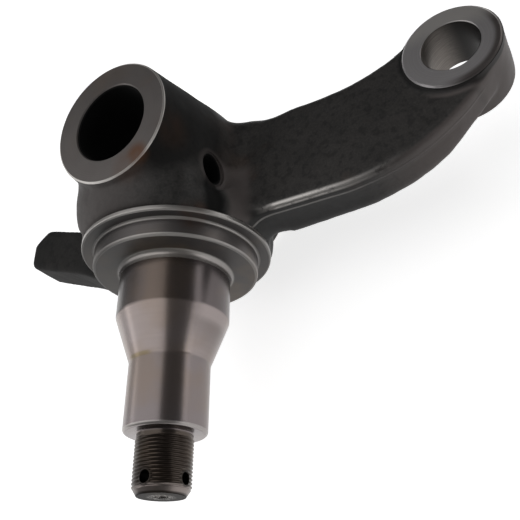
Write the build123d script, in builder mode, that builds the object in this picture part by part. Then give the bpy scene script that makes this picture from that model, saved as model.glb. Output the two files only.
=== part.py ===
from build123d import *
from math import cos, radians, sin, tan
import os

# A forged steering knuckle for the steer axle of a lift truck, in millimetres.
# +X runs out along the wheel spindle and +Z is up, along the bore of the tie-rod eye.
# The kingpin axis crosses the spindle axis at the origin and leans from +Z towards +X.

# Kingpin barrel
kingpin_bore_d = 36.0
kingpin_lean = 5.9              # degrees between the kingpin axis and +Z
barrel_length = 110.0
barrel_face_d = 58.4
barrel_draft = 7.0              # degrees, from the parting line to each machined face
barrel_parting_round = 80.0     # radius that dresses the parting line flush
bore_chamfer = 1.0
face_edge_chamfer = 0.8

# Neck between the barrel and the collar
neck_d = 99.2
neck_round_x = 27.0             # where the neck starts to close in to the collar
neck_shoulder_r = 12.0
neck_flare_x = 14.0             # where the sides start to flare out to the collar
neck_flare_d = 67.0

# Collar and wheel spindle
collar_d = 87.2
collar_back_x = 38.0
collar_front_x = 48.0
collar_edge_chamfer = 1.0
seal_land_d = 75.2
seal_land_front_x = 56.4
seal_land_chamfer = 1.4
inner_seat_d = 50.0
inner_seat_root_chamfer = 2.0
taper_start_x = 79.4
taper_end_x = 99.6
outer_seat_d = 35.0
outer_seat_end_x = 129.3
outer_seat_chamfer = 1.6
relief_d = 23.2
thread_start_x = 131.4
thread_d = 24.0
thread_chamfer = 0.3
tip_x = 153.6
tip_chamfer = 2.4
centre_drill_d = 3.2
centre_drill_depth = 7.0
centre_cone_d = 6.0

# Split-pin holes, crossing at right angles through the thread
split_pin_d = 4.8
split_pin_x = 147.5

# Steering arm
arm_front_x = 42.5
arm_back_x = -8.5
arm_front_bend_y = 85.0         # where each side leaves the straight for its bend
arm_back_bend_y = 80.0
arm_back_root_y = 58.0          # where the back side starts to spread towards the barrel
arm_back_root_r = 20.0
arm_back_root_turn = 40.0       # degrees
arm_top_z = 10.5
arm_root_bottom_z = -12.0       # underside at the root and at the eye
arm_eye_bottom_z = -5.2
arm_edge_fillet = 3.0
arm_root_fillet = 10.0

# Tie-rod eye
eye_x = -7.6
eye_y = 139.0
eye_boss_d = 41.0
eye_bore_d = 24.0
eye_height = 25.0
eye_edge_chamfer = 0.6
eye_bore_chamfer = 0.8
arm_end_inset = 0.6             # the arm's round end lies this far inside the eye boss

# Steering stop lug
lug_top_z = 5.0
lug_root_bottom_z = -20.5       # underside at the front bend and at the tip
lug_tip_bottom_z = -16.5
lug_front_x = 47.0
lug_bend_y = -46.0
lug_tip_y = -93.0
lug_tip_front_x = 30.8
lug_tip_back_x = 17.5
lug_back_tip_x = 10.0
lug_back_tip_y = -84.0
lug_root_back_x = 25.0
lug_bend_fillet = 12.0
lug_corner_fillet = 4.0
lug_edge_chamfer = 1.6

# Lock-pin hole, breaking into the side of the kingpin bore
lock_pin_d = 13.0
lock_pin_x = 22.1
lock_pin_z = 22.6
lock_pin_face_d = 20.0
lock_pin_face_y = 32.8

os.makedirs("parts", exist_ok=True)

lean = radians(kingpin_lean)
kingpin_plane = Plane(origin=(0, 0, 0), x_dir=(cos(lean), 0, -sin(lean)), z_dir=(sin(lean), 0, cos(lean)))
kingpin_section = Plane(origin=(0, 0, 0), x_dir=kingpin_plane.x_dir, z_dir=(0, -1, 0))
half_barrel = barrel_length / 2
barrel_mid_d = barrel_face_d + barrel_length * tan(radians(barrel_draft))
neck_blank_height = 0.6 * neck_d
shoulder_room = min(0.43 * (neck_d - barrel_mid_d), 0.78 * (collar_d - barrel_mid_d))
shoulder_r = min(neck_shoulder_r, shoulder_room)
neck_end_x = collar_front_x - 1.2


def parting_edges(forging):
    """Edges of a forging that lie in the kingpin's mid-plane and belong to the barrel's outside."""
    mid_plane_edges = [e for e in forging.edges() if abs((e @ 0.5).dot(kingpin_plane.z_dir)) < 0.01]
    return [e for e in mid_plane_edges if (e @ 0.5).X < collar_front_x]


# Neck: the barrel's own width carried out to the collar, with the barrel's draft.
with BuildPart() as neck:
    with BuildSketch(kingpin_plane) as neck_plan:
        Circle(barrel_mid_d / 2)
        with Locations((collar_front_x, 0)):
            Rectangle(2 * collar_front_x, barrel_mid_d)
    extrude(amount=neck_blank_height, taper=barrel_draft)
    mirror(about=kingpin_plane)
    fillet(parting_edges(neck), barrel_parting_round)
    with BuildSketch(Plane.XY):
        with BuildLine():
            round_part = Polyline((-barrel_mid_d, 0), (-barrel_mid_d, neck_d / 2), (neck_round_x, neck_d / 2))
            close_in = TangentArc(round_part @ 1, (neck_end_x, collar_d / 2 - 0.3), tangent=(1, 0))
            Polyline(close_in @ 1, (neck_end_x, 0), (-barrel_mid_d, 0))
        make_face()
    revolve(axis=Axis.X, mode=Mode.INTERSECT)
    shoulders = [e for e in neck.edges() if min(abs(e.center().Y), abs(e.center().Z), e.center().X + 20) > 20]
    fillet(shoulders, shoulder_r)

# Barrel: drafted both ways from its parting line.
with BuildPart() as barrel:
    with BuildSketch(kingpin_plane):
        Circle(barrel_mid_d / 2)
    extrude(amount=half_barrel, taper=barrel_draft)
    mirror(about=kingpin_plane)
    fillet(parting_edges(barrel), barrel_parting_round)

# Steering arm: one flat tapering bar whose sides bend round to the eye.
end_r = eye_boss_d / 2 - arm_end_inset
front_dx = arm_front_x - eye_x
front_dy = eye_y - arm_front_bend_y
front_bend_r = (front_dx**2 + front_dy**2 - end_r**2) / (2 * (front_dx - end_r))
back_dx = eye_x - arm_back_x
back_dy = eye_y - arm_back_bend_y
back_bend_r = (back_dx**2 + back_dy**2 - end_r**2) / (2 * (end_r - back_dx))
eye_centre = Vector(eye_x, eye_y)
front_bend_centre = Vector(arm_front_x - front_bend_r, arm_front_bend_y)
back_bend_centre = Vector(arm_back_x - back_bend_r, arm_back_bend_y)
front_tangent = front_bend_centre + (eye_centre - front_bend_centre).normalized() * front_bend_r
back_tangent = back_bend_centre + (eye_centre - back_bend_centre).normalized() * back_bend_r
underside_rise = (arm_eye_bottom_z - arm_root_bottom_z) / eye_y

with BuildPart() as arm:
    with BuildSketch(Plane.XY.offset(2 * arm_root_bottom_z)):
        with BuildLine():
            front_side = Line((arm_front_x, 5), (arm_front_x, arm_front_bend_y))
            front_bend = TangentArc(front_side @ 1, front_tangent, tangent=front_side % 1)
            arm_end = TangentArc(front_bend @ 1, back_tangent, tangent=front_bend % 1)
            back_bend = TangentArc(arm_end @ 1, (arm_back_x, arm_back_bend_y), tangent=arm_end % 1)
            back_side = Line(back_bend @ 1, (arm_back_x, arm_back_root_y))
            root_turn = radians(arm_back_root_turn)
            root_end = (
                arm_back_x - arm_back_root_r * (1 - cos(root_turn)),
                arm_back_root_y - arm_back_root_r * sin(root_turn),
            )
            back_root = TangentArc(back_side @ 1, root_end, tangent=back_side % 1)
            Polyline(back_root @ 1, (root_end[0], 5), (arm_front_x, 5))
        make_face()
    extrude(amount=arm_top_z - 2 * arm_root_bottom_z)
    with BuildSketch(Plane.YZ):
        with BuildLine():
            near_z = arm_root_bottom_z - 25 * underside_rise
            far_z = arm_root_bottom_z + 200 * underside_rise
            Polyline((-25, near_z), (200, far_z), (200, -40), (-25, -40), close=True)
        make_face()
    extrude(amount=100, both=True, mode=Mode.SUBTRACT)
    top_edges = arm.faces().sort_by(Axis.Z)[-1].edges()
    bottom_edges = arm.faces().sort_by(Axis.Z)[0].edges()
    fillet([e for e in top_edges + bottom_edges if e.center().Y > 6], arm_edge_fillet)

# Steering stop lug, square to the spindle on the side away from the arm.
with BuildPart() as lug:
    with BuildSketch(Plane.XY.offset(2 * lug_root_bottom_z)) as lug_plan:
        with BuildLine():
            Polyline(
                (lug_front_x, -5),
                (lug_front_x, lug_bend_y),
                (lug_tip_front_x, lug_tip_y),
                (lug_tip_back_x, lug_tip_y),
                (lug_back_tip_x, lug_back_tip_y),
                (lug_root_back_x, -38),
                (lug_root_back_x, -5),
                close=True,
            )
        make_face()
        fillet(lug_plan.vertices().sort_by(Axis.Y)[0:3], lug_corner_fillet)
        front_bend = (lug_front_x, lug_bend_y, 0)
        fillet(lug_plan.vertices().sort_by_distance(front_bend)[0], lug_bend_fillet)
    extrude(amount=lug_top_z - 2 * lug_root_bottom_z)
    lug_rise = (lug_tip_bottom_z - lug_root_bottom_z) / (lug_bend_y - lug_tip_y)
    with BuildSketch(Plane.YZ):
        with BuildLine():
            near_z = lug_root_bottom_z + lug_bend_y * lug_rise
            far_z = lug_root_bottom_z + (lug_bend_y - 2 * lug_tip_y) * lug_rise
            Polyline((0, near_z), (2 * lug_tip_y, far_z), (2 * lug_tip_y, -80), (0, -80), close=True)
        make_face()
    extrude(amount=100, both=True, mode=Mode.SUBTRACT)
    level_edges = lug.faces().sort_by(Axis.Z)[-1].edges() + lug.faces().sort_by(Axis.Z)[0].edges()
    chamfer([e for e in level_edges if e.center().Y < -6], lug_edge_chamfer)


def seam_edges(blend, first, second):
    """Edges of a fused body that lie on the faces of both pieces it was fused from."""
    seam = []
    for edge in blend.edges():
        middle = edge @ 0.5
        on_first = min(face.distance_to(middle) for face in first.faces()) < 0.001
        on_second = min(face.distance_to(middle) for face in second.faces()) < 0.001
        if on_first and on_second:
            seam.append(edge)
    return seam


# Body of the forging: neck and barrel, and the flare behind the collar.
with BuildPart() as body:
    add(neck.part)
    add(barrel.part)
    with BuildSketch(Plane.XY):
        with BuildLine():
            Polyline(
                (neck_flare_x, 0),
                (neck_flare_x, neck_flare_d / 2),
                (collar_back_x, collar_d / 2),
                (collar_front_x - collar_edge_chamfer, collar_d / 2),
                (collar_front_x, collar_d / 2 - collar_edge_chamfer),
                (collar_front_x, 0),
                close=True,
            )
        make_face()
    revolve(axis=Axis.X)

# The arm runs into the body with one generous fillet all round its root.
trunk = body.part.solid()
bar = arm.part.solid()
armed = trunk.fuse(bar)
armed = armed.fillet(arm_root_fillet, seam_edges(armed, trunk, bar))

with BuildPart() as knuckle:
    add(armed)
    add(lug.part)

    # Wheel spindle, turned from the collar out to the threaded tip.
    with BuildSketch(Plane.XZ) as spindle_profile:
        with BuildLine():
            Polyline(
                (collar_front_x - 5, 0),
                (collar_front_x - 5, seal_land_d / 2),
                (seal_land_front_x, seal_land_d / 2),
                (seal_land_front_x, inner_seat_d / 2),
                (taper_start_x, inner_seat_d / 2),
                (taper_end_x, outer_seat_d / 2),
                (outer_seat_end_x, outer_seat_d / 2),
                (outer_seat_end_x, relief_d / 2),
                (thread_start_x, relief_d / 2),
                (thread_start_x, thread_d / 2),
                (tip_x, thread_d / 2),
                (tip_x, 0),
                close=True,
            )
        make_face()
        root_corner = (seal_land_front_x, inner_seat_d / 2, 0)
        chamfer(spindle_profile.vertices().sort_by_distance(root_corner)[0], inner_seat_root_chamfer)
        for corner_x, corner_d, size in (
            (seal_land_front_x, seal_land_d, seal_land_chamfer),
            (outer_seat_end_x, outer_seat_d, outer_seat_chamfer),
            (thread_start_x, thread_d, thread_chamfer),
            (tip_x, thread_d, tip_chamfer),
        ):
            corner = (corner_x, corner_d / 2, 0)
            chamfer(spindle_profile.vertices().sort_by_distance(corner)[0], size)
    revolve(axis=Axis.X)

    # Tie-rod eye: a round boss with straight sides, bored through.
    with BuildSketch(Plane.XY.offset(-eye_height / 2)):
        with Locations((eye_x, eye_y)):
            Circle(eye_boss_d / 2)
    extrude(amount=eye_height)
    circles = knuckle.edges().filter_by(GeomType.CIRCLE)
    eye_rims = circles.filter_by(lambda e: abs(e.radius - eye_boss_d / 2) < 0.01)
    chamfer([e for e in eye_rims if abs(abs(e.center().Z) - eye_height / 2) < 0.01], eye_edge_chamfer)
    with BuildSketch(Plane.XY.offset(eye_height / 2)):
        with Locations((eye_x, eye_y)):
            Circle(eye_bore_d / 2)
    extrude(amount=-eye_height, mode=Mode.SUBTRACT)
    circles = knuckle.edges().filter_by(GeomType.CIRCLE)
    bore_rims = circles.filter_by(lambda e: abs(e.radius - eye_bore_d / 2) < 0.01)
    bore_rims = bore_rims.filter_by(lambda e: e.center().Y > eye_y - 1)
    chamfer(bore_rims, eye_bore_chamfer)

    # Kingpin bore, right through the barrel.
    with BuildSketch(kingpin_plane.offset(half_barrel)):
        Circle(kingpin_bore_d / 2)
    extrude(amount=-barrel_length, mode=Mode.SUBTRACT)
    bore_rims = knuckle.edges().filter_by(GeomType.CIRCLE)
    bore_rims = [e for e in bore_rims if abs(e.radius - kingpin_bore_d / 2) < 0.01]
    chamfer(bore_rims, bore_chamfer)

    # The outer rim of each barrel face is broken.
    rim_r = barrel_face_d / 2
    for end in (1, -1):
        with BuildSketch(kingpin_section):
            with BuildLine():
                Polyline(
                    (rim_r - face_edge_chamfer, end * half_barrel),
                    (rim_r + face_edge_chamfer, end * (half_barrel - 2 * face_edge_chamfer)),
                    (rim_r + face_edge_chamfer, end * (half_barrel + face_edge_chamfer)),
                    (rim_r - face_edge_chamfer, end * (half_barrel + face_edge_chamfer)),
                    close=True,
                )
            make_face()
        revolve(axis=Axis((0, 0, 0), kingpin_plane.z_dir), mode=Mode.SUBTRACT)

    # Lock-pin hole with a spot-faced seat at each end.
    with BuildSketch(Plane.XZ.offset(-2 * barrel_face_d)):
        with Locations((lock_pin_x, lock_pin_z)):
            Circle(lock_pin_d / 2)
    extrude(amount=4 * barrel_face_d, mode=Mode.SUBTRACT)
    for side in (1, -1):
        with BuildSketch(Plane.XZ.offset(side * lock_pin_face_y)):
            with Locations((lock_pin_x, lock_pin_z)):
                Circle(lock_pin_face_d / 2)
        extrude(amount=side * 12, mode=Mode.SUBTRACT)

    # Split-pin holes and the centre drilled in the tip.
    with BuildSketch(Plane.XZ.offset(-thread_d)):
        with Locations((split_pin_x, 0)):
            Circle(split_pin_d / 2)
    extrude(amount=2 * thread_d, mode=Mode.SUBTRACT)
    with BuildSketch(Plane.XY.offset(-thread_d)):
        with Locations((split_pin_x, 0)):
            Circle(split_pin_d / 2)
    extrude(amount=2 * thread_d, mode=Mode.SUBTRACT)
    with BuildSketch(Plane.XZ):
        with BuildLine():
            cone_depth = (centre_cone_d - centre_drill_d) / 2 * tan(radians(60))
            Polyline(
                (tip_x, 0),
                (tip_x, centre_cone_d / 2),
                (tip_x - cone_depth, centre_drill_d / 2),
                (tip_x - centre_drill_depth, centre_drill_d / 2),
                (tip_x - centre_drill_depth - centre_drill_d / 4, 0),
                close=True,
            )
        make_face()
    revolve(axis=Axis.X, mode=Mode.SUBTRACT)

knuckle.part.label = "steering_knuckle"
export_step(knuckle.part, "parts/steering_knuckle.step")
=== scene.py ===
import bpy, bmesh
from math import atan2, ceil, cos, exp, hypot, pi, radians, sin, tan
from mathutils import Matrix, Vector, noise
from mathutils.geometry import intersect_point_line


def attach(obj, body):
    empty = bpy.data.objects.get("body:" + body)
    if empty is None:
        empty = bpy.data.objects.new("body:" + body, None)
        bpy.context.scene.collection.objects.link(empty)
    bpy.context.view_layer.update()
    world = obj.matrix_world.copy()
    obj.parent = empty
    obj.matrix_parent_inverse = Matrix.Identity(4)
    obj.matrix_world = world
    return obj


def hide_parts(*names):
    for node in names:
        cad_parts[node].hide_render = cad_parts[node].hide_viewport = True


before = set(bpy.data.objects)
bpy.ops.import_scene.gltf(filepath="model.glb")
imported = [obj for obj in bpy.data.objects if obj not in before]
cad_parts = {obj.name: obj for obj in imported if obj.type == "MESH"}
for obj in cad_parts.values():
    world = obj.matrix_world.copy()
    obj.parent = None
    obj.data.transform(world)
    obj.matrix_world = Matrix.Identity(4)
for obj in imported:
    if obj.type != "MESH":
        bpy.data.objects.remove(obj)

for starter in ("Cube", "Camera", "Light"):
    if starter in bpy.data.objects:
        bpy.data.objects.remove(bpy.data.objects[starter])
bpy.context.view_layer.update()
mm = 0.001
scene = bpy.context.scene
print("frame loaded")

# camera
cameraSet = {
    "place": (201.1, 170.3, 223.5),    # mm
    "right": (-0.0014, 0.8714, -0.4906),
    "down": (0.8758, -0.2357, -0.4212),
    "forward": (-0.4826, -0.4303, -0.7628),
    "lens": 47.29,
}
scene.view_settings.view_transform = "Standard"
cameraData = bpy.data.cameras.new("viewCamera")
cameraData.lens = cameraSet["lens"]
cameraData.sensor_width = 36
cameraData.clip_start = 0.01
camera = bpy.data.objects.new("viewCamera", cameraData)
scene.collection.objects.link(camera)
right, down, forward = (Vector(cameraSet[k]) for k in ("right", "down", "forward"))
turn = Matrix((right, -down, -forward)).transposed().to_4x4()
camera.matrix_world = Matrix.Translation(Vector(cameraSet["place"]) * mm) @ turn
scene.camera = camera


# mesh helpers
def newObject(name, bm):
    mesh = bpy.data.meshes.new(name)
    bm.to_mesh(mesh)
    bm.free()
    made = bpy.data.objects.new(name, mesh)
    scene.collection.objects.link(made)
    return made


def spun(profile, steps, place=Matrix.Identity(4)):
    # x, radius pairs in mm, turned about the X axis and put in place.
    bm = bmesh.new()
    points = [bm.verts.new((x * mm, 0, r * mm)) for x, r in profile]
    edges = [bm.edges.new(pair) for pair in zip(points, points[1:])]
    bmesh.ops.spin(bm, geom=points + edges, cent=(0, 0, 0), axis=(1, 0, 0), dvec=(0, 0, 0),
                   angle=2 * pi, steps=steps, use_merge=True, use_duplicate=False)
    bmesh.ops.remove_doubles(bm, verts=bm.verts, dist=1e-7)
    bmesh.ops.recalc_face_normals(bm, faces=bm.faces)
    bmesh.ops.transform(bm, matrix=place, verts=bm.verts)
    return bm


def mirrored(half):
    # A profile's first half, followed by the same half seen from the other end.
    return half + [(-x, r) for x, r in reversed(half)]


def along(axis, origin=(0, 0, 0)):
    # Matrix that turns the X axis onto an axis through an origin given in mm.
    swing = Vector((1, 0, 0)).rotation_difference(Vector(axis)).to_matrix().to_4x4()
    return Matrix.Translation(Vector(origin) * mm) @ swing


def baked(target):
    graph = bpy.context.evaluated_depsgraph_get()
    graph.update()
    mesh = bpy.data.meshes.new_from_object(target.evaluated_get(graph))
    target.modifiers.clear()
    target.data = mesh


def combine(target, tool, operation):
    change = target.modifiers.new(operation, "BOOLEAN")
    change.object = tool
    change.operation = operation
    change.solver = "MANIFOLD"
    baked(target)
    bpy.data.objects.remove(tool)


def rounded(corner, before, after, radius, steps):
    # Points of an arc that rounds a profile's corner, given its two neighbours.
    c, a, b = (Vector(p) for p in (corner, before, after))
    u, v = (a - c).normalized(), (b - c).normalized()
    half = u.angle(v) / 2
    centre = c + (u + v).normalized() * radius / sin(half)
    start = c + u * radius / tan(half)
    end = c + v * radius / tan(half)
    points = []
    for i in range(steps + 1):
        p = start.lerp(end, i / steps)
        points.append(tuple(centre + (p - centre).normalized() * radius))
    return points


def between(value, low, high):
    # Share of the way from low to high, kept within 0 and 1; high may be the lower of the two.
    return min(1.0, max(0.0, (value - low) / (high - low)))


def ridge(value, crest, width):
    # 1 at the crest, falling evenly to 0 at a width from it.
    return max(0.0, 1 - abs(value - crest) / width)


# places on the part, in mm
lean = radians(5.9)
kingpin = Vector((sin(lean), 0, cos(lean)))                # the barrel's axis, through the origin
eye = (-7.6, 139.0, 0)
lockPin = (22.1, 0, 22.6)
frontBend = {"x": -40.8, "y": 85.0, "radius": 83.3}        # bend of the arm's front side

# forging
forging = {
    "voxel": 1.05,            # mm, grid of the remeshed skin
    "smooth": 3,              # passes over the whole skin
    "blend": 60,              # passes along the roots of neck, arm and lug
    "crotch": 160,            # passes between the arm's back and the barrel
    "wave": 0.16,             # mm, height of the skin's unevenness
    "waveSize": 9.0,          # mm, breadth of it
    "hollow": 1.3,            # mm, depth of the hollow between the neck and the arm
    "hollowWidth": 3.2,       # mm
    "hollowStart": (32, 35, 22.6), "hollowEnd": (46, 39, 22.0),
    "swell": 1.6,             # mm, fullness of the arm's lower front edge
    "swellWidth": 6.0,        # mm
    "deeper": 1.5,            # mm, how far the arm's underside hangs below its drawn place
    "eyeSwell": 0.9,          # mm, fullness of the eye on its inner side
    "lugShift": 1.2,          # mm, how far the lug's tip sits back
    "spindleX": 46.0,         # mm, where the turned spindle takes over
    "spindleR": 44.0,
}
barrelPlug = mirrored([(-59, 0), (-59, 28.71), (-12, 34.4)])
eyePlug = [(-14.5, 0), (-14.5, 20.3), (14.5, 20.6), (14.5, 0)]
lockPinPlug = mirrored([(-33.2, 0), (-33.2, 10.4)])

bm = bmesh.new()
bm.from_mesh(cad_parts["steering_knuckle"].data)
bmesh.ops.remove_doubles(bm, verts=bm.verts, dist=1e-6)
knuckle = newObject("steeringKnuckle", bm)
cutX, cutR, cutEnd = forging["spindleX"], forging["spindleR"], 170
cutter = spun([(cutX, 0), (cutX, cutR), (cutEnd, cutR), (cutEnd, 0)], 96)
combine(knuckle, newObject("cutter", cutter), "DIFFERENCE")

# The blank has its holes closed, because they are cut after its skin is smoothed.
bm = bmesh.new()
bm.from_mesh(knuckle.data)
plugs = [
    spun(barrelPlug, 96, along(kingpin)),
    spun(eyePlug, 96, along((0, 0, 1), eye)),
    spun(lockPinPlug, 64, along((0, 1, 0), lockPin)),
]
for plug in plugs:
    mesh = bpy.data.meshes.new("plug")
    plug.to_mesh(mesh)
    plug.free()
    bm.from_mesh(mesh)
    bpy.data.meshes.remove(mesh)
bm.to_mesh(knuckle.data)
bm.free()
remesh = knuckle.modifiers.new("remesh", "REMESH")
remesh.mode = "VOXEL"
remesh.voxel_size = forging["voxel"] * mm
baked(knuckle)


def rootWeight(p):
    # 1 where the forging's parts run into each other, fading to 0 on their own surfaces.
    onAxis = p.dot(kingpin)
    fromAxis = (p - kingpin * onAxis).length
    fromShaft = hypot(p.y, p.z)
    neck = ridge(fromAxis, 36, 9) if p.x > 4 and abs(onAxis) < 50 else 0
    lug = ridge(p.y, -41, 9) if p.y < 0 and p.x > 10 and -30 < p.z < 14 else 0
    collar = ridge(p.x, 40, 6) if p.y > 0 and 39 < fromShaft < 56 else 0
    return min(1.0, 1.6 * max(neck, lug, collar))


def crotchWeight(p):
    # 1 at the hollow between the arm's back and the barrel.
    return ridge(p.y, 43, 22) * between(p.x, 10, 2) if p.y > 20 and abs(p.z) < 30 else 0


for name, weigh in (("roots", rootWeight), ("crotch", crotchWeight)):
    group = knuckle.vertex_groups.new(name=name)
    for v in knuckle.data.vertices:
        weight = weigh(v.co / mm)
        if weight > 0:
            group.add([v.index], weight, "REPLACE")
for passes, group in ((forging["smooth"], ""), (forging["blend"], "roots"), (forging["crotch"], "crotch")):
    soften = knuckle.modifiers.new("soften", "SMOOTH")
    soften.factor = 0.5
    soften.iterations = passes
    soften.vertex_group = group
baked(knuckle)
knuckle.vertex_groups.clear()


# The next functions give the skin's moves in metres, at a place in metres.
def hollowDent(co, normal):
    # The dent that runs from the lock pin's hole out to the collar.
    start, end = Vector(forging["hollowStart"]), Vector(forging["hollowEnd"])
    share = intersect_point_line(co / mm, start, end)[1]
    away = (co / mm - start.lerp(end, between(share, 0, 1))).length
    return normal * forging["hollow"] * mm * exp(-(away / forging["hollowWidth"]) ** 2)


def unevenness(co, normal):
    size = forging["waveSize"]
    wave = noise.noise(co / (size * mm)) + 0.5 * noise.noise(co / (0.4 * size * mm))
    return normal * wave * forging["wave"] * mm


def frontGap(co):
    # Distance in mm to the arm's front side, above 0 outside it.
    bend = Vector((co.x / mm - frontBend["x"], max(0.0, co.y / mm - frontBend["y"])))
    return bend.length - frontBend["radius"]


def edgeSwell(co, normal, front):
    # Fullness of the arm's lower front edge, which climbs a little towards the eye.
    if not (co.y > 44 * mm and -16 * mm < co.z < 2 * mm):
        return Vector()
    edgeZ = -9 + 0.1 * max(0.0, co.y / mm - 90)
    reach = between(co.y / mm, 44, 52) * between(co.y / mm, 140, 128)
    spread = (front + 1) ** 2 + (co.z / mm - edgeZ) ** 2
    return normal * forging["swell"] * reach * mm * exp(-spread / forging["swellWidth"] ** 2)


def undersideDrop(co, front):
    depth = between(co.z / mm, -1, -10) * between(co.y / mm, 40, 56)
    return forging["deeper"] * mm * depth * between(front, -30, -8) * between(co.y / mm, 132, 120)


def eyeFullness(co):
    fromEye = Vector((co.x / mm - eye[0], co.y / mm - eye[1]))
    if not 17 < fromEye.length < 25:
        return Vector()
    inward = max(0.0, -fromEye.x / fromEye.length)
    return Vector((*fromEye.normalized(), 0)) * forging["eyeSwell"] * mm * inward


normals = [v.normal.copy() for v in knuckle.data.vertices]
for v, normal in zip(knuckle.data.vertices, normals):
    v.co -= hollowDent(v.co, normal)
    v.co += unevenness(v.co, normal)
    front = frontGap(v.co)
    v.co += edgeSwell(v.co, normal, front)
    v.co.z -= undersideDrop(v.co, front)
    v.co += eyeFullness(v.co)
    v.co.x -= forging["lugShift"] * mm * between(v.co.y / mm, -46, -60)
print("forging blank", len(knuckle.data.vertices))

# spindle
spindle = {
    "steps": 192,
    "rimBackX": 44.6, "rimX": 48.0, "rimR": 43.6,
    "landX": 56.4, "landR": 37.6,
    "innerSeatR": 25.0, "taperX": 79.4, "taperEndX": 99.6,
    "outerSeatX": 129.3, "outerSeatR": 17.5,
    "reliefR": 11.6, "threadX": 131.4, "crestR": 12.0, "rootR": 11.25, "pitch": 1.5,
    "ring": 0.1875,           # mm, spacing of the rings that carry the thread
    "tipX": 153.6, "tipR": 9.8,
    "pinX": 147.5, "pinR": 2.4, "pinMouthR": 2.7,
}
s = spindle
corners = [
    (s["rimX"], s["rimR"], 0.8, 5),                        # x, radius, rounding and its steps
    (s["rimX"], s["landR"], 0.9, 5),
    (s["landX"], s["landR"], 1.2, 5),
    (s["landX"], s["innerSeatR"], 2.6, 8),
    (s["taperX"], s["innerSeatR"], 3.0, 5),
    (s["taperEndX"], s["outerSeatR"], 3.0, 5),
    (s["outerSeatX"], s["outerSeatR"], 1.5, 5),
    (s["outerSeatX"], s["reliefR"], 0.5, 5),
]
rimStart = (s["rimBackX"] + 1.2, s["rimR"])
shaft = [(s["rimBackX"], 0), (s["rimBackX"], s["rimR"] - 1.2), rimStart]
spots = [rimStart] + [corner[:2] for corner in corners] + [(s["threadX"], s["reliefR"])]
for before, (x, r, radius, steps), after in zip(spots, corners, spots[2:]):
    shaft += rounded((x, r), before, after, radius, steps)
rings = ceil((s["tipX"] - s["threadX"]) / s["ring"])
ringStep = (s["tipX"] - s["threadX"]) / rings
shaft += [(s["threadX"] + i * ringStep, s["crestR"]) for i in range(rings)]
latheCentre = [(s["tipX"], 3.0), (152.0, 1.6), (146.6, 1.6), (145.7, 0)]
shaft += [(s["tipX"], s["tipR"])] + latheCentre
bm = spun(shaft, s["steps"])


def threadRadius(x, angle):
    # Radius in mm of the thread's surface, with a chamfer at each end.
    share = ((x - s["pitch"] * angle / (2 * pi)) / s["pitch"]) % 1.0
    rise = (abs(share - 0.5) - 0.125) / 0.3125
    radius = s["rootR"] + (s["crestR"] - s["rootR"]) * between(rise, 0, 1)
    startChamfer = s["reliefR"] + (x - s["threadX"]) * 1.1
    endChamfer = s["tipR"] + (s["tipX"] - x) * 0.68
    return min(radius, startChamfer, endChamfer)


for v in bm.verts:
    x, y, z = v.co / mm
    radius = hypot(y, z)
    if s["threadX"] - 0.02 < x < s["tipX"] - 0.05 and radius > s["crestR"] - 0.1:
        wanted = threadRadius(x, atan2(z, y))
        fromPin = min(hypot(x - s["pinX"], z), hypot(x - s["pinX"], y))
        wanted += (s["reliefR"] - wanted) * between(fromPin, s["pinR"] + 1.3, s["pinR"] + 0.3)
        v.co = Vector((x, y * wanted / radius, z * wanted / radius)) * mm
turned = newObject("turned", bm)
pinHole = mirrored([(-20, 0), (-20, s["pinMouthR"]), (-11.7, s["pinMouthR"]), (-11.3, s["pinR"])])
for axis in ((0, 1, 0), (0, 0, 1)):
    combine(turned, newObject("pin", spun(pinHole, 48, along(axis, (s["pinX"], 0, 0)))), "DIFFERENCE")
print("spindle", len(turned.data.vertices))

# machining
bosses = {
    "barrel": {"end": 55.0, "faceR": 28.6, "edge": 1.4, "edgeR": 30.4, "boreR": 18.0, "chamfer": 0.9,
               "clear": (75, 60), "steps": 160, "place": along(kingpin)},
    "eye": {"end": 12.5, "faceR": 19.7, "edge": 1.6, "edgeR": 21.2, "boreR": 12.0, "chamfer": 0.5,
            "clear": (20, 34), "steps": 128, "place": along((0, 0, 1), eye)},
}
lockHole = {"end": 32.8, "spotR": 8.0, "boreR": 6.5, "chamfer": 0.6}


def facing(boss):
    # Tool that faces both ends of a boss, dresses their edges and bores it through.
    reach, reachR = boss["clear"]
    end, edge, chamfer = boss["end"], boss["end"] - boss["edge"], boss["chamfer"]
    half = [(-reach, 0), (-reach, reachR), (-edge, reachR), (-edge, boss["edgeR"]), (-end, boss["faceR"]),
            (-end, boss["boreR"] + chamfer), (chamfer - end, boss["boreR"])]
    return spun(mirrored(half), boss["steps"], boss["place"])


def lockDrill():
    end, bore, chamfer = lockHole["end"], lockHole["boreR"], lockHole["chamfer"]
    spotFace = [(-50, 0), (-50, lockHole["spotR"]), (-end, lockHole["spotR"])]
    half = spotFace + [(-end, bore + chamfer), (chamfer - end, bore)]
    return spun(mirrored(half), 96, along((0, 1, 0), lockPin))


combine(knuckle, turned, "UNION")
for tool in (facing(bosses["barrel"]), facing(bosses["eye"]), lockDrill()):
    combine(knuckle, newObject("tool", tool), "DIFFERENCE")
bm = bmesh.new()
bm.from_mesh(knuckle.data)
bmesh.ops.remove_doubles(bm, verts=bm.verts, dist=2e-6)
bmesh.ops.dissolve_degenerate(bm, edges=bm.edges, dist=2e-6)
for f in bm.faces:
    f.smooth = True
for e in bm.edges:
    if len(e.link_faces) == 2 and e.calc_face_angle(0) > radians(32):
        e.smooth = False
bm.to_mesh(knuckle.data)
bm.free()
print("machined", len(knuckle.data.vertices), sum(len(p.vertices) - 2 for p in knuckle.data.polygons))


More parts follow.
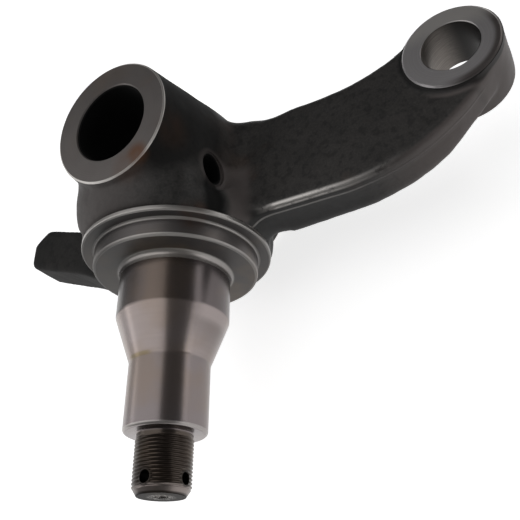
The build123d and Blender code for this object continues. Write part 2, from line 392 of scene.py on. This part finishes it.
# shader helpers
class Value:
    # A socket that answers Python's own operators with Math nodes.

    def __init__(self, nodes, socket):
        self.nodes = nodes
        self.socket = socket

    def math(self, operation, *others):
        return self.nodes.make("ShaderNodeMath", {"operation": operation}, [self, *others]).out(0)

    def __add__(self, other): return self.math("ADD", other)
    def __radd__(self, other): return self.math("ADD", other)
    def __mul__(self, other): return self.math("MULTIPLY", other)
    def __rmul__(self, other): return self.math("MULTIPLY", other)
    def __sub__(self, other): return self.math("SUBTRACT", other)
    def __rsub__(self, other): return (self * -1).math("ADD", other)
    def __truediv__(self, other): return self.math("DIVIDE", other)
    def __abs__(self): return self.math("ABSOLUTE")

    def atMost(self, limit): return self.math("MINIMUM", limit)
    def atLeast(self, limit): return self.math("MAXIMUM", limit)

    def above(self, edge, soft):
        # 0 below the edge and 1 above it, over a soft width.
        ends = [self, edge - soft / 2, edge + soft / 2, 0, 1]
        return self.nodes.make("ShaderNodeMapRange", {"interpolation_type": "SMOOTHSTEP"}, ends).out(0)

    def below(self, edge, soft):
        return 1 - self.above(edge, soft)

    def within(self, low, high, soft):
        return self.above(low, soft) * self.below(high, soft)


class Made:
    def __init__(self, nodes, node):
        self.nodes = nodes
        self.node = node

    def out(self, index):
        return Value(self.nodes, self.node.outputs[index])


class Nodes:
    def __init__(self, tree):
        self.tree = tree
        self.tree.nodes.clear()

    def make(self, kind, settings=None, sockets=None):
        # A node with its settings first and then its sockets, by place or by name.
        node = self.tree.nodes.new(kind)
        for key, setting in (settings or {}).items():
            if key == "stops":
                ramp = node.color_ramp
                ramp.elements[0].position, ramp.elements[1].position = setting[0][0], setting[-1][0]
                for at, colour in setting[1:-1]:
                    ramp.elements.new(at)
                for element, (at, colour) in zip(ramp.elements, setting):
                    element.color = colour
            else:
                setattr(node, key, setting)
        sockets = sockets or {}
        for key, given in (sockets.items() if isinstance(sockets, dict) else enumerate(sockets)):
            target = node.inputs[key]
            if isinstance(given, Value):
                self.tree.links.new(given.socket, target)
            else:
                target.default_value = given
        return Made(self, node)

    def near(self, place, spot, radius, soft):
        # 1 within a radius of a spot, both in mm.
        made = self.make("ShaderNodeVectorMath", {"operation": "DISTANCE"}, [place, Vector(spot) * mm])
        return (made.out(1) * 1000).below(radius, soft)

    def noise(self, place, scale, detail=3, rough=0.5):
        sockets = {"Vector": place, "Scale": scale, "Detail": detail, "Roughness": rough}
        return self.make("ShaderNodeTexNoise", {}, sockets).out(0)

    def joined(self, x, y=0, z=0):
        return self.make("ShaderNodeCombineXYZ", {}, [x, y, z]).out(0)

    def mixed(self, factor, first, second):
        # Colour mix: first where the factor is 0, second where it is 1.
        return self.make("ShaderNodeMix", {"data_type": "RGBA"}, {0: factor, 6: first, 7: second}).out(2)


def newMaterial(name):
    material = bpy.data.materials.new(name)
    material.use_nodes = True
    return material, Nodes(material.node_tree)


def rgb(r, g, b):
    # Screen colour of 0 to 255 as the linear value that a shader takes.
    return tuple(((c / 255 + 0.055) / 1.055) ** 2.4 for c in (r, g, b)) + (1,)


# steel
steel = {
    # forged skin; wall is the paler colour of painted light, and skinDark also serves for painted shade
    "skin": rgb(42, 41, 40), "skinPale": rgb(68, 65, 63),
    "skinDark": rgb(22, 22, 22), "wall": rgb(96, 89, 87),
    # wear and stains, and the pale colour of painted highlights
    "wearAndHighlight": rgb(196, 192, 188), "rust": rgb(104, 68, 44),
    "warm": rgb(128, 108, 84), "olive": rgb(116, 102, 66),
    # faced and bored surfaces, with painted shade on the eye's rounded edge, painted light in the eye's hole
    # and a near black colour for painted shade
    "faced": rgb(112, 108, 106), "facedDark": rgb(92, 87, 85), "eyeFaced": rgb(172, 169, 170),
    "shoulderShade": rgb(68, 60, 56), "eyeBore": rgb(38, 36, 35), "eyeLit": rgb(138, 131, 125),
    "bore": rgb(7, 7, 7),
    # turned spindle
    "edge": rgb(78, 75, 74), "land": rgb(104, 100, 99), "flange": rgb(80, 77, 76), "seat": rgb(104, 97, 97),
    "cone": rgb(152, 142, 140), "outer": rgb(128, 120, 120), "thread": rgb(80, 72, 66),
    "chamfer": rgb(134, 125, 121), "tip": rgb(40, 36, 34),
}
stains = {                                                 # place in mm: radius in mm and strength
    (26.5, 15.5, 52.7): (4.0, 0.8),
    (31.0, 10.0, 52.7): (6.0, 0.3),
    (48.5, 28.8, 29.0): (5.0, 0.5),
    (15.0, 29.0, 47.0): (7.0, 0.15),
}
barrel, eyeBoss = bosses["barrel"], bosses["eye"]
steelMaterial, n = newMaterial("forgedSteel")
place = n.make("ShaderNodeTexCoord").out(3)
parts = n.make("ShaderNodeSeparateXYZ", {}, [place])
x, y, z = (parts.out(i) * 1000 for i in range(3))

onKingpin = abs(x * kingpin.x + z * kingpin.z)
acrossX = x * kingpin.z - z * kingpin.x
fromKingpin = (acrossX * acrossX + y * y).math("SQRT")
eyeX, eyeY = x - eye[0], y - eye[1]
fromEye = (eyeX * eyeX + eyeY * eyeY).math("SQRT")
lockX, lockZ = x - lockPin[0], z - lockPin[2]
fromLock = (lockX * lockX + lockZ * lockZ).math("SQRT")
fromShaft = (y * y + z * z).math("SQRT")
bendX, bendY = x - frontBend["x"], (y - frontBend["y"]).atLeast(0.0)
fromFront = (bendX * bendX + bendY * bendY).math("SQRT") - frontBend["radius"]

blotch = n.noise(place, 38)
grain = n.noise(place, 950, 3, 0.6)
fine = n.noise(place, 2600, 2)
pits = n.noise(place, 300, 2, 0.55)
tint = n.noise(place, 30, 3, 0.6)

# forged skin: blotches, pits and traces of rust
skin = n.mixed(blotch.above(0.5, 0.5) * 0.5 + grain.above(0.52, 0.3) * 0.35, steel["skin"], steel["skinPale"])
skin = n.mixed(pits.below(0.42, 0.16) * 0.45, skin, steel["skinDark"])
rustSpot = n.noise(place, 26, 3, 0.6).above(0.64, 0.12) * 0.12
skin = n.mixed(rustSpot, skin, steel["rust"])

# front wall of the arm, with painted light towards the eye and painted shade towards the neck, and painted
# light on the eye's outer wall
onArm = y.above(42, 8) * fromEye.above(24, 5)
wall = onArm * fromFront.above(-1.6, 1.5)
skin = n.mixed(wall * y.above(112, 36) * 0.85, skin, steel["wall"])
litEyeWall = fromEye.below(24, 2) * (eyeX * 0.66 + eyeY * 0.75).above(6, 14) * z.below(11.4, 0.6)
skin = n.mixed(litEyeWall * 0.85, skin, steel["wall"])
skin = n.mixed(wall * y.below(97, 26) * 0.75, skin, steel["skinDark"])

# painted shade on the barrel's arm side, on the lug and in the hollow, with a strip of painted light beside
# the hollow
hollow = z.above(19.8, 2.0) * z.below(27.4, 3.0) * x.above(27.6, 3) * y.above(28, 4)
flankShade = fromKingpin.below(38, 12) * y.above(14, 20) * z.above(16, 22) * x.below(32, 14) * 1.3
shaded = (flankShade + y.below(-44, 6) * 0.7 + hollow).atMost(1.0)
skin = n.mixed(shaded * 0.8, skin, steel["skinDark"])
paintedLightStrip = z.within(9, 18, 3) * x.above(17, 6) * x.below(46, 2) * y.above(33, 3) * y.below(45, 6)
skin = n.mixed(paintedLightStrip * 0.75, skin, steel["wall"])

# painted highlight round the lock pin's hole, painted light on the neck's other side, and near black painted
# shade in the hollow
lockRingHighlight = fromLock.above(lockHole["boreR"] + 0.7, 1) * fromLock.below(lockHole["spotR"] + 1.4, 2.4)
lockRingHighlight = lockRingHighlight * y.above(20, 4) * fromKingpin.above(barrel["boreR"] + 6, 2)
skin = n.mixed(lockRingHighlight * 0.45, skin, steel["wall"])
litNeck = x.above(26, 12) * z.above(22, 18) * y.below(12, 24)
skin = n.mixed(litNeck * 0.4, skin, steel["wall"])
skin = n.mixed(hollow * 0.7, skin, steel["bore"])

# painted highlight along the arm's upper front edge; the joint line of the forging dies below it, painted
# lighter as a highlight on its ridge; and painted shade in the crease at the foot of the eye's boss
edgeUp, edgeAway = z - 9.6, fromFront + 0.9
fromEdge = (edgeAway * edgeAway + edgeUp * edgeUp).math("SQRT")
chipped = n.noise(place, 260, 3, 0.7).above(0.38, 0.25)
wearAndHighlight = fromEdge.below(1.5, 1.3) * y.above(52, 12) * y.below(92, 50) * chipped
skin = n.mixed(wearAndHighlight * 0.9, skin, steel["wearAndHighlight"])
partingLine = abs(z - 5.4).below(0.5, 0.6) * onArm * fromFront.above(-6, 2)
skin = n.mixed(partingLine * y.below(95, 40) * 0.35, skin, steel["wearAndHighlight"])
creviceShade = fromEye.above(20.3, 0.3) * fromEye.below(22.4, 2.0) * abs(z - 10.6).below(1.6, 1.2)
skin = n.mixed(creviceShade * 0.8, skin, steel["bore"])

# where the skin has been cut away
onSpindle = x.above(s["rimX"] - 1.1, 0.6) * fromShaft.below(s["rimR"] + 0.3, 0.2)
rim = fromShaft.below(s["rimR"] + 0.3, 0.3) * fromShaft.above(s["rimR"] - 1.6, 0.6)
rim = rim * x.above(s["rimX"] - 2.1, 0.8)
turnedAway = (onSpindle + rim).atMost(1.0)
barrelFace = onKingpin.above(barrel["end"] - 0.75, 0.2) * fromKingpin.below(barrel["faceR"] + 1.0, 0.2)
eyeFace = abs(z).above(eyeBoss["end"] - 0.7, 0.2) * fromEye.below(eyeBoss["edgeR"] + 0.2, 0.2)
faced = (barrelFace + eyeFace).atMost(1.0)
kingpinBore = fromKingpin.below(barrel["boreR"] + 0.5, 0.4) * onKingpin.below(barrel["end"] - 0.4, 0.4)
lockBore = fromLock.below(lockHole["boreR"] + 0.5, 0.3) * fromKingpin.above(barrel["boreR"] - 0.1, 0.1)
bored = (kingpinBore + lockBore).atMost(1.0)
eyeBore = fromEye.below(eyeBoss["boreR"] + 0.25, 0.2)

# turned spindle, by its steps; the collar's face and the step face at the land's end get darker steel as
# painted shade
rampStart, rampLength = 46, 110                            # mm along the spindle
steps = [
    (s["rimX"] - 0.8, "edge"), (s["rimX"] + 0.3, "edge"),
    (s["rimX"] + 0.7, "land"), (s["landX"] - 0.4, "land"),
    (s["landX"] - 0.1, "flange"), (s["landX"] + 0.5, "flange"),
    (s["landX"] + 1.2, "seat"), (s["taperX"] - 0.4, "seat"),
    (s["taperX"] + 0.4, "cone"), (s["taperEndX"] - 0.4, "cone"),
    (s["taperEndX"] + 0.4, "outer"), (s["outerSeatX"] + 0.2, "outer"),
    (s["outerSeatX"] + 0.6, "thread"), (s["tipX"] - 3.8, "thread"),
    (s["tipX"] - 3.0, "chamfer"), (s["tipX"] - 1.0, "chamfer"),
    (s["tipX"] - 0.5, "tip"),
]
stops = [((at - rampStart) / rampLength, steel[name]) for at, name in steps]
turnedColour = n.make("ShaderNodeValToRGB", {"stops": stops}, [(x - rampStart) / rampLength]).out(0)
rings = n.noise(n.joined(x, fromShaft), 3.2, 4, 0.7)
turnedColour = n.mixed(rings.above(0.5, 0.5) * 0.12, turnedColour, steel["skin"])
turnedColour = n.mixed(tint.above(0.55, 0.25) * 0.3, turnedColour, steel["warm"])

# painted highlights on its edges and roots, stronger towards the top
rimEdge = fromShaft.above(s["rimR"] - 0.9, 0.4) * x.above(s["rimX"] - 2.0, 0.5)
landRoot = x.above(s["rimX"] - 0.1, 0.2) * x.below(s["rimX"] + 1.0, 0.6)
landRoot = landRoot * fromShaft.below(s["landR"] + 1.1, 0.4)
landEdge = x.above(s["landX"] - 1.1, 0.4) * fromShaft.above(s["landR"] - 1.4, 0.5)
seatRoot = x.above(s["landX"] + 0.2, 0.3) * x.below(s["landX"] + 3.6, 0.8)
seatRoot = seatRoot * fromShaft.below(s["innerSeatR"] + 3.4, 0.6) * y.above(-13, 16)
seatEnd = x.above(s["outerSeatX"] - 1.4, 0.4) * x.below(s["outerSeatX"] + 0.3, 0.2)
seatEnd = seatEnd * fromShaft.above(s["outerSeatR"] - 0.9, 0.5)
paintedHighlight = (rimEdge + landRoot + landEdge + seatEnd + seatRoot).atMost(1.0) * (z.above(14, 44) * 0.5 + 0.5)
turnedColour = n.mixed(paintedHighlight * 0.65, turnedColour, steel["wearAndHighlight"])

# painted shade round the split pins' holes and along the spindle's sides
nearPin = (y * y).atMost(z * z) + (x - s["pinX"]) * (x - s["pinX"])
pinShade = nearPin.below(11.5, 3) * x.above(s["pinX"] - 7.5, 1)
turnedColour = n.mixed(pinShade * 0.6, turnedColour, steel["bore"])
seatShade = y.below(-4, 22) * x.above(s["rimX"] - 0.4, 0.4) * x.below(s["taperX"] + 0.6, 1) * 0.7
threadShade = y.below(-2, 12) * x.above(s["outerSeatX"] + 0.7, 1) * 0.4
coneShade = y.above(19, 8) * x.above(s["taperX"] + 5.6, 4) * x.below(s["taperEndX"] + 1.4, 4) * 0.35
turnedColour = n.mixed(seatShade + threadShade + coneShade, turnedColour, steel["skin"])

# face cuts left by the facing tool, round the kingpin and round the eye, with painted highlights on the
# barrel face's edge and on the eye face's inner side, and painted shade on the eye's rounded outer edge
facingLines = n.noise(n.joined(fromKingpin.atMost(fromEye)), 2.2, 4, 0.7)
facedMix = blotch.above(0.5, 0.4) * 0.4 + facingLines.above(0.5, 0.4) * 0.25
facedColour = n.mixed(facedMix, steel["faced"], steel["facedDark"])
facedColour = n.mixed(tint.above(0.56, 0.2) * 0.2, facedColour, steel["warm"])
barrelEdgeHighlight = fromKingpin.above(barrel["faceR"] - 0.1, 0.2) * fromKingpin.below(barrel["faceR"] + 1.1, 0.6)
facedColour = n.mixed(barrelEdgeHighlight, facedColour, steel["wearAndHighlight"])
eyeFaced = n.mixed(facingLines.above(0.5, 0.4) * 0.3, steel["eyeFaced"], steel["faced"])
shoulderShade = fromEye.above(eyeBoss["faceR"] - 2.1, 2.4) * (eyeX * 0.4 + eyeY * 0.9).above(7, 12)
eyeFaced = n.mixed(shoulderShade * 0.8, eyeFaced, steel["shoulderShade"])
eyeFaced = n.mixed(eyeX.below(-9, 10) * 0.75, eyeFaced, steel["wearAndHighlight"])
facedColour = n.mixed(fromEye.below(24, 1), facedColour, eyeFaced)

# the eye's bored hole, with the reamer's lines and painted light on its wall towards the barrel
reamed = n.noise(n.joined(z * 0.6, (x + y) * 0.08), 3.0, 4, 0.7)
eyeBoreColour = n.mixed(eyeY.below(-2, 12) * 0.9, steel["eyeBore"], steel["eyeLit"])
eyeBoreColour = n.mixed(reamed.above(0.5, 0.3) * 0.35, eyeBoreColour, steel["eyeBore"])

# all of it together, with near black painted shade in the bores, then the stains and the light-coloured
# flecks on the tip
colour = n.mixed(turnedAway, skin, turnedColour)
colour = n.mixed(faced, colour, facedColour)
colour = n.mixed(eyeBore, colour, eyeBoreColour)
colour = n.mixed(bored, colour, steel["bore"])
for spot, (radius, strength) in stains.items():
    patch = n.near(place, spot, radius, 1.4 * radius) * tint.above(0.36, 0.2) * strength
    colour = n.mixed(patch, colour, steel["rust"])
coneEnd = n.near(place, (99.5, -3.5, 17.0), 6.0, 4.0) * x.within(98.6, 100.4, 0.8)
colour = n.mixed(coneEnd * tint.above(0.4, 0.3) * 0.6, colour, steel["olive"])
flecks = x.above(s["tipX"] - 1.6, 0.2) * fromShaft.below(5.5, 2.0) * fine.above(0.56, 0.08)
colour = n.mixed(flecks * 0.8, colour, steel["wearAndHighlight"])

machined = (onSpindle + rim + faced + wearAndHighlight * 0.8 + eyeBore * 0.6).atMost(1.0)
onLand = x.within(s["rimX"] + 0.4, s["landX"] - 0.2, 0.4)
onStep = x.within(s["rimX"] - 0.2, s["rimX"] + 0.2, 0.2)
onStep = (onStep + x.above(s["landX"] - 0.3, 0.3) * x.below(s["landX"] + 0.3, 0.2)) * onSpindle
roughness = 0.52 - machined * 0.31 + grain * 0.08 + bored * 0.3 + faced * 0.16 + onLand * 0.16
roughness = roughness + onStep * 0.22 + paintedHighlight * 0.08 + shaded * (1 - machined) * 0.36
roughness = roughness + x.above(s["threadX"] - 0.4, 0.3) * 0.12 + x.above(s["tipX"] - 0.3, 0.1) * 0.3
metallic = 0.3 + machined * 0.6 - onStep * 0.5 - paintedHighlight * onSpindle * 0.25

skinHeight = grain * 0.35 + pits * 0.5 + n.noise(place, 120) * 1.1 + partingLine * 1.8
turnedHeight = rings * 0.22 * x.below(s["threadX"] - 0.2, 0.2) + facingLines * 0.2 * faced + fine * 0.1
height = skinHeight * (1 - machined) + turnedHeight * machined
bump = n.make("ShaderNodeBump", {}, {"Strength": 0.5, "Distance": 0.0002, "Height": height})

shader = n.make("ShaderNodeBsdfPrincipled", {}, {
    "Base Color": colour, "Roughness": roughness, "Metallic": metallic, "Normal": bump.out(0),
    "Specular IOR Level": 0.36,
})
n.make("ShaderNodeOutputMaterial", {}, {"Surface": shader.out(0)})
knuckle.data.materials.clear()
knuckle.data.materials.append(steelMaterial)

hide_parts("steering_knuckle")
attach(knuckle, "root")
print("steel done")

# floor and light
studio = {
    "floorZ": -58.2,          # mm
    "floorSize": 4.0,         # m
    "floor": 0.8,             # grey of the floor
    "seen": 0.75,             # light it adds where the camera sees it
    "glossy": 0.75,           # and where the steel mirrors it
    "world": 0.09,            # light of the world on the part, white where it is seen
}
bm = bmesh.new()
bmesh.ops.create_grid(bm, x_segments=2, y_segments=2, size=studio["floorSize"])
bmesh.ops.translate(bm, verts=bm.verts, vec=(0, 0, studio["floorZ"] * mm))
floor = newObject("studioFloor", bm)
paleFloor, f = newMaterial("paleFloor")
lightPath = f.make("ShaderNodeLightPath")
seen = lightPath.out(0) * studio["seen"] + lightPath.out(3) * studio["glossy"]
plain = f.make("ShaderNodeBsdfDiffuse", {}, {"Color": (studio["floor"],) * 3 + (1,)})
lift = f.make("ShaderNodeEmission", {}, {"Color": (1, 1, 1, 1), "Strength": seen})
both = f.make("ShaderNodeAddShader", {}, [plain.out(0), lift.out(0)])
f.make("ShaderNodeOutputMaterial", {}, {"Surface": both.out(0)})
floor.data.materials.append(paleFloor)

world = bpy.data.worlds.new("studioWorld")
world.use_nodes = True
scene.world = world
w = Nodes(world.node_tree)
shown = w.make("ShaderNodeLightPath").out(0) * (1 - studio["world"]) + studio["world"]
sky = w.make("ShaderNodeBackground", {}, {"Color": (1, 1, 1, 1), "Strength": shown})
w.make("ShaderNodeOutputWorld", {}, {"Surface": sky.out(0)})

lampAim = (0.05, 0.03, 0)                                  # m
lamps = {
    "leftLamp": {"place": (0.10, -0.38, 0.86), "size": 1.1, "tall": 1.85, "power": 6.8},
    "sideLamp": {"place": (0.05, -1.0, 0.28), "size": 0.9, "tall": 0.6, "power": 1.3},
    "rightLamp": {"place": (-0.35, 1.0, 0.10), "size": 0.9, "tall": 0.24, "power": 1.0},
    "frontLamp": {"place": (0.5, 0.9, 0.12), "size": 0.5, "tall": 0.3, "power": 0.8},
}
for name, lamp in lamps.items():
    data = bpy.data.lights.new(name, "AREA")
    data.shape = "RECTANGLE"
    data.size = lamp["size"]
    data.size_y = lamp["tall"]
    data.energy = lamp["power"]
    made = bpy.data.objects.new(name, data)
    scene.collection.objects.link(made)
    made.location = lamp["place"]
    made.rotation_euler = (Vector(lampAim) - Vector(lamp["place"])).to_track_quat("-Z", "Y").to_euler()
print("studio done")
